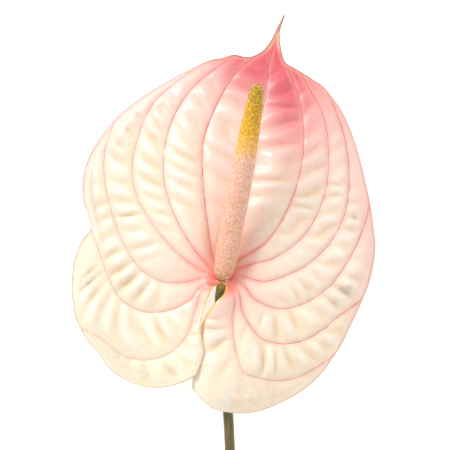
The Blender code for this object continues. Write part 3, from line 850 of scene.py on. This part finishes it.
@dataclass(frozen=True)
class Spadix:
    """The rod of florets: a tapering body, raised into beads in spiral rows."""

    form: SpadixForm
    node_height: float
    columns: int = 200
    rows: int = 480

    def florets(self, turn: Array, along: Array) -> tuple[Array, Array, Array]:
        """The beads, which lie where cos(n a) cos(2 pi s / pitch) is high, for the turn a and the distance
        s along the spadix, with n florets around. Each bead is moved and toned by chance.

        Args:
            turn: The turn round the spadix, in radians.
            along: The distance along it, in millimetres.

        Returns:
            From 0 to 1: each point's bead height, its bead's tone, and how near it is to a bead's middle.
        """
        form = self.form
        around = form.florets_around * (turn + form.spiral * along)
        beyond = 2 * math.pi * along / form.floret_pitch
        around = around + 0.5 * (wander(5, along + 7 * turn, 1.7) + wander(6, 9 * turn - 1.3 * along, 1.3))
        beyond = beyond + 0.6 * wander(8, along * 1.7 + 11 * turn, 1.9)
        wave = np.cos(around) * np.cos(beyond)
        first = np.round((around + beyond) / (2 * math.pi)).astype(int)
        second = np.round((around - beyond) / (2 * math.pi)).astype(int)
        chance = np.random.default_rng(7).uniform(0, 1, 4096)
        tone, aside, ahead = (chance[np.mod(first * a + second * b + start, 4096)]
                              for a, b, start in ((61, 17, 1024), (37, 91, 512), (83, 29, 512)))
        moved = np.cos(around - np.pi * np.round(around / np.pi) - 1.5 * (aside - 0.5))
        moved = moved * np.cos(beyond - np.pi * np.round(beyond / np.pi) - 1.5 * (ahead - 0.5))
        bead = np.sqrt(np.clip(moved, 0, 1)) * np.clip(3.5 * wave, 0, 1)
        return bead, tone, np.clip(wave, 0, 1) ** 5

    def skin(self) -> Surface:
        """The spadix's closed skin: rings round a slightly bowed line, with the beads on them."""
        form = self.form
        length = form.reach / math.cos(form.lean) / math.cos(form.rise)
        profile = np.array(form.profile)
        share = np.interp(np.linspace(0, 1, self.rows), [0, 0.04, 0.94, 1], [0, 0.025, 0.97, 1])
        share[-1] = 0.9995
        radius = curve_through(profile[:, 0], profile[:, 1], share)
        turn = np.arange(self.columns) * 2 * math.pi / self.columns
        a, s = np.meshgrid(turn, share * length, indexing="ij")
        bead, tone, core = self.florets(a, s)
        relief = form.floret_height * smooth_step(1.2, 3.4, radius) * (bead * (0.6 + 0.6 * tone) - 0.35)
        reach = (radius + relief)[..., None]
        level = math.cos(form.rise)
        axis = np.array([math.sin(form.lean) * level, math.cos(form.lean) * level, math.sin(form.rise)])
        side = unit(np.cross(axis, UP))
        upward = np.cross(side, axis)
        bow = form.bow * (share**2 - share)[:, None] * side
        start = np.array([0, 0, self.node_height]) + axis * form.start
        round_axis = np.cos(a)[..., None] * side + np.sin(a)[..., None] * upward
        rings = start + s[..., None] * axis + reach * round_axis - bow
        values = {"bead": (bead, (0, 0)), "core": (core, (0, 0)), "tone": (tone, (0, 0.5)),
                  "along": (share, (0, 1))}
        return tube(rings, (start, start + axis * length), values)

    def build(self, offset: Array) -> None:
        """Makes the spadix with its finish, with the plan's origin at the offset."""
        self.skin().build(Piece.SPADIX, "Spadix", offset, SpadixFinish().material())


@dataclass(frozen=True)
class StemForm:
    """Sizes of the stem, in millimetres. The crown's rings are angles over its dome, and the cut end's
    rings are shares of its width."""

    route: tuple = ((0, -0.9, 17.2), (-0.9, -7, 14.9), (-0.5, -22, 12), (1.2, -42, 10.6), (2.8, -61, 9.6),
                    (4.2, -100, 8.3), (4, -170, 6.4), (0.5, -240, 4.4))
    end: tuple[float, float] = (-4.0, -300.0)
    radius_at_node: float = 2.25
    radius_at_cut: float = 2.7
    ridges: int = 9
    ridge_share: float = 0.012
    cut_slant: float = math.radians(32)
    cut_back: float = 2.2
    cut_rings: tuple[float, ...] = (0.8, 0.4)
    crown: float = 1.3
    crown_rings: tuple[float, ...] = (1.3, 0.95, 0.5)


@dataclass(frozen=True)
class Stem:
    """The stem: a tapering round rod along a bowed route, domed at its top and cut off at a slant."""

    form: StemForm
    lowest: float
    columns: int = 64
    rows: int = 320

    def skin(self) -> Surface:
        """The stem's closed skin. Its radius has low ridges, r (1 + 0.012 cos 9a), and a slow unevenness."""
        form = self.form
        path = even_curve([*form.route, (*form.end, self.lowest + form.radius_at_cut)], self.rows)
        share = np.linspace(0, 1, self.rows)
        radius = form.radius_at_node + (form.radius_at_cut - form.radius_at_node) * share
        forward = unit(np.gradient(path, axis=0))
        side = unit(np.cross(forward, UP))
        upward = np.cross(side, forward)
        turn = (np.arange(self.columns) * 2 * math.pi / self.columns)[:, None]
        uneven = form.ridge_share * (np.cos(form.ridges * turn) + wander(91, share * 300, 23.0))
        reach = (radius * (1 + uneven))[..., None] * 0.995
        body = path + reach * (np.cos(turn)[..., None] * side + np.sin(turn)[..., None] * upward)
        # Points beyond the slanted cut move back onto it
        cut_face = np.array([0.0, math.cos(form.cut_slant), -math.sin(form.cut_slant)])
        on_cut = path[-1] + np.array([0.0, form.cut_back, 0.0])
        beyond = np.clip(((on_cut - body) * cut_face).sum(axis=2) / (forward @ -cut_face), 0, None)
        body = body - beyond[..., None] * forward
        crown, pith = -forward[0] * form.crown, body[:, -1].mean(axis=0)
        top, first = path[0], body[:, 0]
        dome = [top + crown * math.sin(a) + (first - top) * math.cos(a) for a in form.crown_rings]
        cap = [pith + (body[:, -1] - pith) * scale for scale in form.cut_rings]
        rings = np.concatenate([np.stack(dome, axis=1), body, np.stack(cap, axis=1)], axis=1)
        along = np.concatenate([np.zeros(len(dome)), share, np.ones(len(cap))])
        cut = np.repeat((0.0, 1.0), (len(dome) + self.rows, len(cap)))
        return tube(rings, (top + crown, pith), {"cut": (cut, (0, 1)), "along": (along, (0, 1))})

    def build(self, offset: Array) -> None:
        """Makes the stem with its finish, with the plan's origin at the offset."""
        self.skin().build(Piece.STEM, "Stem", offset, StemFinish().material())


class Graph:
    """A short way to write a material's shader nodes."""

    def __init__(self, name: str) -> None:
        """Starts a material with a Principled shader, under the name."""
        self.material = bpy.data.materials.new(name)
        self.material.use_nodes = True
        self.tree = self.material.node_tree
        self.shader = self.tree.nodes["Principled BSDF"]

    def node(self, kind: str, **settings) -> bpy.types.ShaderNode:
        """Adds a node.

        Args:
            kind: The node's type name.
            **settings: Attributes to set on it.

        Returns:
            The node.
        """
        made = self.tree.nodes.new(kind)
        for key, value in settings.items():
            setattr(made, key, value)
        return made

    def put(self, socket: Output, value: Socket) -> None:
        """Links an output into an input, or sets the input's value.

        Args:
            socket: The input.
            value: An output, a number, numbers or a tint.
        """
        if isinstance(value, bpy.types.NodeSocket):
            self.tree.links.new(value, socket)
        elif isinstance(value, Tint):
            socket.default_value = (*value.linear(), 1.0)
        else:
            socket.default_value = value

    def combine(self, operation: str, first: Socket, *others: Socket) -> Output:
        """Joins inputs by a maths operation, one after the other.

        Args:
            operation: The operation's name.
            first: The first input.
            *others: The inputs that join it.

        Returns:
            The result.
        """
        for other in others:
            made = self.node("ShaderNodeMath", operation=operation)
            self.put(made.inputs[0], first)
            self.put(made.inputs[1], other)
            first = made.outputs[0]
        return first

    def times(self, *inputs: Socket) -> Output:
        """The product of the inputs."""
        return self.combine("MULTIPLY", *inputs)

    def fade(self, value: Socket, start: float, end: float, low: float = 0.0, high: float = 1.0) -> Output:
        """A smooth step from low at start to high at end; start may be above end.

        Args:
            value: What is mapped.
            start: The value that gives low.
            end: The value that gives high.
            low: The result at start.
            high: The result at end.

        Returns:
            The result.
        """
        made = self.node("ShaderNodeMapRange", interpolation_type="SMOOTHSTEP")
        limits = (start, end, low, high) if start < end else (end, start, high, low)
        self.put(made.inputs["Value"], value)
        for key, number in zip(("From Min", "From Max", "To Min", "To Max"), limits):
            self.put(made.inputs[key], number)
        return made.outputs["Result"]

    def mix(self, share: Socket, under: Socket, over: Socket, blend: str = "MIX") -> Output:
        """Lays a colour over another.

        Args:
            share: How much of the upper colour shows.
            under: The lower colour.
            over: The upper colour.
            blend: The blend mode.

        Returns:
            The colour.
        """
        made = self.node("ShaderNodeMix", data_type="RGBA", blend_type=blend)
        self.put(made.inputs["Factor"], share)
        self.put(made.inputs[6], under)
        self.put(made.inputs[7], over)
        return made.outputs[2]

    def ramp(self, value: Socket, stops: Sequence) -> Output:
        """A colour ramp.

        Args:
            value: Where on the ramp.
            stops: Pairs of position and colour, the colour as 0 to 255.

        Returns:
            The colour.
        """
        made = self.node("ShaderNodeValToRGB")
        elements = made.color_ramp.elements
        while len(elements) < len(stops):
            elements.new(0.5)
        for element, (position, colour) in zip(elements, stops):
            element.position = position
            element.color = (*linear(*colour), 1.0)
        self.put(made.inputs[0], value)
        return made.outputs[0]

    def value(self, name: str, output: str = "Fac") -> Output:
        """Reads a named number, or with the output Color a named colour, from the mesh."""
        return self.node("ShaderNodeAttribute", attribute_name=name).outputs[output]

    def space(self) -> Output:
        """Places in the object's own space."""
        return self.node("ShaderNodeTexCoord").outputs["Object"]

    def noise(self, size: float, detail: float = 2.0, stretch: tuple = (1.0, 1.0, 1.0)) -> Output:
        """Noise in the object's own space.

        Args:
            size: The size of its features, in millimetres.
            detail: How many finer layers it has.
            stretch: How much denser it is along each axis.

        Returns:
            The noise, about 0.3 to 0.7.
        """
        scaled = self.node("ShaderNodeMapping")
        self.put(scaled.inputs["Vector"], self.space())
        self.put(scaled.inputs["Scale"], stretch)
        made = self.node("ShaderNodeTexNoise")
        self.put(made.inputs["Vector"], scaled.outputs[0])
        self.put(made.inputs["Scale"], 1 / (size * MM))
        self.put(made.inputs["Detail"], detail)
        return made.outputs["Fac"]

    def cells(self, density: float, feature: str) -> Output:
        """A pattern of cells in the object's own space.

        Args:
            density: How many cells make a metre.
            feature: F1 for the distance to a cell's middle, or DISTANCE_TO_EDGE.

        Returns:
            The distance, in cells.
        """
        made = self.node("ShaderNodeTexVoronoi", feature=feature)
        self.put(made.inputs["Vector"], self.space())
        self.put(made.inputs["Scale"], density)
        return made.outputs["Distance"]

    def bump(self, height: Socket, depth: float, strength: float, under: Optional[Output] = None) -> Output:
        """A bump.

        Args:
            height: The height, from 0 to 1.
            depth: What a height of 1 is, in millimetres.
            strength: How strongly it shows.
            under: A bump that this one lies on.

        Returns:
            The normal.
        """
        made = self.node("ShaderNodeBump")
        self.put(made.inputs["Height"], height)
        self.put(made.inputs["Distance"], depth * MM)
        self.put(made.inputs["Strength"], strength)
        if under is not None:
            self.put(made.inputs["Normal"], under)
        return made.outputs["Normal"]

    def finish(self, **inputs: Socket) -> bpy.types.Material:
        """Sets the shader's inputs, named with underscores for spaces, and gives the material."""
        for key, value in inputs.items():
            self.put(self.shader.inputs[key.replace("_", " ")], value)
        return self.material


@dataclass(frozen=True)
class SpatheFinish:
    """Waxy tissue: cream and rose ground, thin red veins with soft halos, and a fine net of lesser veins.

    Attributes:
        roughness: Its least roughness.
        coat: How strong its waxy coat is.
        line: The half width of a vein's line, in millimetres.
        halo: How far a vein's halo reaches, in millimetres.
        net: How many cells of the net make a metre.
    """

    roughness: float = 0.33
    coat: float = 0.2
    line: float = 0.3
    halo: float = 2.6
    net: float = 150.0

    def material(self) -> bpy.types.Material:
        """Makes the finish."""
        graph = Graph("spathe")
        vein, tint, rim, out = (graph.value(name) for name in ("vein", "tint", "rim", "out"))
        # The ground, a patchy net of lesser veins and a light mottle
        net = graph.fade(graph.cells(self.net, "DISTANCE_TO_EDGE"), 0.09, 0.0)
        net = graph.times(net, graph.fade(graph.noise(9.0), 0.38, 0.62), 0.1)
        colour = graph.mix(net, graph.value("ground", "Color"), Tint.HALO)
        mottle = graph.fade(graph.noise(2.6, 3.0), 0.3, 0.7, 0.97, 1.02)
        colour = graph.mix(1.0, colour, mottle, "MULTIPLY")
        # The main veins: a soft halo, and a line that starts a little way out
        strength = graph.times(tint, graph.fade(graph.noise(5.0), 0.3, 0.7, 0.6, 1.15))
        halo = graph.times(graph.fade(vein, self.halo, 0.0), strength, 0.5)
        colour = graph.mix(halo, colour, Tint.HALO)
        line = graph.fade(vein, self.line * 1.7, self.line * 0.4)
        line = graph.times(line, graph.fade(out, 0.03, 0.12), strength, 0.85)
        colour = graph.mix(line, colour, Tint.VEIN, "MULTIPLY")
        # The margin's pink band and thin dark line, the sinus's golden edges and the duller underside
        pink = graph.times(graph.value("pink"), graph.fade(rim, 2.4, 0.6), 0.5)
        colour = graph.mix(pink, colour, Tint.HALO)
        colour = graph.mix(graph.fade(rim, 0.55, 0.1, 0.0, 0.55), colour, Tint.RIM_LINE)
        colour = graph.mix(graph.times(graph.value("golden"), 0.8), colour, Tint.GOLD)
        below = graph.mix(0.35, colour, Tint.UNDERSIDE)
        colour = graph.mix(graph.value("upper"), below, colour)
        # Fine grain, raised veins and soft unevenness
        grain = graph.bump(graph.noise(0.55), 0.02, 0.5)
        ridge = graph.bump(graph.fade(vein, 0.7, 0.0), 0.12, 0.7, grain)
        soft = graph.bump(graph.noise(3.2), 0.16, 0.6, ridge)
        rough = graph.fade(graph.noise(1.7), 0.3, 0.7, self.roughness, self.roughness + 0.15)
        return graph.finish(Base_Color=colour, Roughness=rough, Normal=soft, Coat_Weight=self.coat,
                            Coat_Roughness=0.16, Coat_Normal=soft, Subsurface_Weight=0.35,
                            Subsurface_Radius=(1.0, 0.55, 0.35), Subsurface_Scale=2.2 * MM)


@dataclass(frozen=True)
class SpadixFinish:
    """Granular tissue: peach with pale beads below, orange and then yellow above, with olive specks.

    Attributes:
        grains: How many grains make a metre.
        between: The colours between the beads, by the share of the length, darker at the foot as painted
            shade.
        bright: The beads' own colours, also darker at the foot as painted shade.
    """

    grains: float = 980.0
    # Both ramps start darker at the foot: painted shade where the spadix meets the spathe
    between: tuple = ((0, (200, 130, 80)), (0.06, (234, 172, 138)), (0.6, (240, 182, 158)),
                      (0.68, (242, 180, 96)), (0.76, (228, 164, 30)),
                      (0.9, (196, 146, 26)), (1, (158, 124, 28)))
    bright: tuple = ((0, (238, 190, 142)), (0.12, (248, 206, 180)), (0.6, (250, 210, 188)),
                     (0.68, (252, 210, 128)), (0.76, (250, 200, 56)),
                     (0.9, (236, 196, 58)), (1, (214, 184, 66)))

    def material(self) -> bpy.types.Material:
        """Makes the finish."""
        graph = Graph("spadix")
        bead, along, tone, core = (graph.value(name) for name in ("bead", "along", "tone", "core"))
        # The colours by the length, with ragged borders, dark between the beads and bright on them, and
        # darker at the foot as painted shade
        ragged = graph.combine("ADD", along, graph.fade(graph.noise(2.2, 3.0), 0.3, 0.7, -0.03, 0.03))
        grains = graph.fade(graph.cells(self.grains, "F1"), 0.62, 0.22)
        granular = graph.combine("ADD", graph.times(bead, 0.3), graph.times(grains, 0.75))
        colour = graph.mix(graph.fade(granular, 0.1, 0.7), graph.ramp(ragged, self.between),
                           graph.ramp(ragged, self.bright))
        # Pale tops below, specks in the beads' middles above, and a few rusty beads
        pale = graph.times(graph.fade(granular, 0.5, 0.95), graph.fade(along, 0.72, 0.58),
                           graph.fade(tone, 0.2, 0.7, 0.0, 0.4))
        colour = graph.mix(pale, colour, Tint.FLORET_PALE)
        speck = graph.times(core, graph.fade(along, 0.68, 0.82), graph.fade(tone, 0.35, 0.6), 0.7)
        colour = graph.mix(speck, colour, Tint.FLORET_SPECK)
        colour = graph.mix(graph.fade(tone, 0.75, 1.0, 0.0, 0.22), colour, Tint.FLORET_RUST)
        grain = graph.bump(grains, 0.12, 0.6, graph.bump(graph.noise(0.4), 0.03, 0.6))
        rough = graph.fade(graph.noise(0.8), 0.3, 0.7, 0.38, 0.55)
        return graph.finish(Base_Color=colour, Roughness=rough, Normal=grain, Subsurface_Weight=0.3,
                            Subsurface_Radius=(1.0, 0.5, 0.25), Subsurface_Scale=1.2 * MM)


@dataclass(frozen=True)
class StemFinish:
    """Plant skin: dark olive green with fine lengthwise streaks and specks, and a paler cut end.

    Attributes:
        ground: Its colours, by the share of the length.
        streak: How much denser its streaks are along each axis.
    """

    ground: tuple = ((0, (196, 150, 66)), (0.006, (150, 128, 58)), (0.014, (92, 98, 44)),
                     (0.06, (96, 92, 48)), (0.3, (104, 94, 50)), (0.7, (106, 100, 54)), (1, (116, 114, 62)))
    streak: tuple[float, float, float] = (1.0, 0.06, 1.0)

    def material(self) -> bpy.types.Material:
        """Makes the finish."""
        graph = Graph("stem")
        streak = graph.noise(0.9, 3.0, self.streak)
        ground = graph.ramp(graph.value("along"), self.ground)
        colour = graph.mix(graph.fade(streak, 0.42, 0.68, 0.0, 0.4), ground, Tint.STEM_STREAK)
        colour = graph.mix(graph.fade(streak, 0.48, 0.3, 0.0, 0.4), colour, Tint.STEM_SHADE)
        speck = graph.fade(graph.noise(0.7, 1.0, (1.0, 0.4, 1.0)), 0.66, 0.74, 0.0, 0.5)
        colour = graph.mix(speck, colour, Tint.STEM_SPECK)
        pores = graph.fade(graph.noise(0.45), 0.45, 0.62)
        pith = graph.mix(pores, Tint.PITH, Tint.PITH_GREEN)
        colour = graph.mix(graph.value("cut"), colour, pith)
        return graph.finish(Base_Color=colour, Roughness=graph.fade(streak, 0.3, 0.7, 0.38, 0.52),
                            Normal=graph.bump(streak, 0.05, 0.7), Subsurface_Weight=0.08,
                            Subsurface_Radius=(0.5, 0.7, 0.2), Subsurface_Scale=1.0 * MM)


@dataclass(frozen=True)
class FloorFinish:
    """Matt white card, with a light of its own that keeps its shadows pale."""

    glow: float = 0.42

    def material(self) -> bpy.types.Material:
        """Makes the finish."""
        graph = Graph("floor")
        cloud = graph.fade(graph.noise(60.0, 3.0), 0.3, 0.7)
        colour = graph.mix(cloud, Tint.FLOOR_GREY, Tint.WHITE)
        grain = graph.bump(graph.noise(1.5), 0.03, 0.3)
        return graph.finish(Base_Color=colour, Roughness=0.75, Normal=grain, Specular_IOR_Level=0.2,
                            Emission_Color=Tint.WHITE, Emission_Strength=self.glow)


@dataclass(frozen=True)
class Lamp:
    """A square soft light that points at the flower's node.

    Attributes:
        name: Its name.
        place: Where it is, in metres: aside and ahead of the node, and above the floor.
        size: The length of its side, in metres.
        power: Its power, in watts.
        colour: Its linear colour.
    """

    name: str
    place: tuple[float, float, float]
    size: float
    power: float
    colour: tuple[float, float, float]

    def hang(self, offset: Array) -> None:
        """Adds the light.

        Args:
            offset: The plan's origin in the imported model, in millimetres.
        """
        lamp = bpy.data.lights.new(self.name, "AREA")
        lamp.size, lamp.energy, lamp.color = self.size, self.power, self.colour
        made = bpy.data.objects.new(self.name, lamp)
        node = Vector(offset * MM)
        made.location = Vector((node.x, node.y, 0)) + Vector(self.place)
        made.rotation_euler = (made.location - node).to_track_quat("Z", "Y").to_euler()
        bpy.context.scene.collection.objects.link(made)


@dataclass(frozen=True)
class Studio:
    """The floor, the light and the camera.

    Attributes:
        offset: The plan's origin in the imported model, in millimetres.
        floor_size: The length of the floor's side, in metres.
        surround: How bright the white surround is.
        photo_width: The width of what the photograph shows, in millimetres.
        centre: The photograph's middle in the flower's plan.
        camera_height: The camera's height over the floor, in metres.
        focus_height: The height at which the view has that width, in metres.
        lamps: The key light from the upper left, and a weak fill.
    """

    offset: Array
    floor_size: float = 6.0
    surround: float = 0.7
    photo_width: float = 207.0
    centre: tuple[float, float] = (1.4, 25.3)
    camera_height: float = 1.605
    focus_height: float = 0.005
    lamps: tuple[Lamp, ...] = (Lamp("Key", (-1.06, 1.19, 1.31), 0.8, 25.2, (1.0, 0.985, 0.965)),
                               Lamp("Fill", (1.1, -0.6, 1.2), 1.2, 3.0, (1.0, 0.99, 0.98)))

    def floor(self) -> None:
        """Lays the floor just under the flower."""
        bpy.ops.mesh.primitive_plane_add(size=self.floor_size, location=(0, 0, 0))
        floor = bpy.context.object
        floor.name = "Floor"
        floor.data.materials.append(FloorFinish().material())

    def light(self) -> None:
        """Hangs the lamps and sets a white surround, with colours shown as they are."""
        for lamp in self.lamps:
            lamp.hang(self.offset)
        world = bpy.data.worlds.new("Surround")
        bpy.context.scene.world = world
        world.use_nodes = True
        background = world.node_tree.nodes["Background"]
        background.inputs["Color"].default_value = (*Tint.WHITE.linear(), 1.0)
        background.inputs["Strength"].default_value = self.surround
        bpy.context.scene.view_settings.view_transform = "Standard"

    def camera(self) -> None:
        """Sets the camera straight above, with the lens that makes the photograph's view."""
        camera = bpy.data.cameras.new("Camera")
        camera.sensor_width = 36.0
        distance = self.camera_height - self.focus_height
        camera.lens = camera.sensor_width * distance / (self.photo_width * MM)
        made = bpy.data.objects.new("Camera", camera)
        made.location = (*(np.array(self.centre) + self.offset[:2]) * MM, self.camera_height)
        bpy.context.scene.collection.objects.link(made)
        bpy.context.scene.camera = made


def main() -> None:
    """Builds the flower and the studio round it."""
    logging.basicConfig(level=logging.INFO)
    blade = Blade(BladeForm(), Quilting())
    offset = blade.packed_offset()
    LOG.info("plan origin at %s", np.round(offset, 2))
    blade.build(offset)
    Spadix(SpadixForm(), blade.form.node_height).build(offset)
    Stem(StemForm(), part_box(Piece.STEM.value)[0][2] / MM - offset[2]).build(offset)
    studio = Studio(offset)
    studio.floor()
    studio.light()
    studio.camera()


if __name__ == "__main__":
    main()
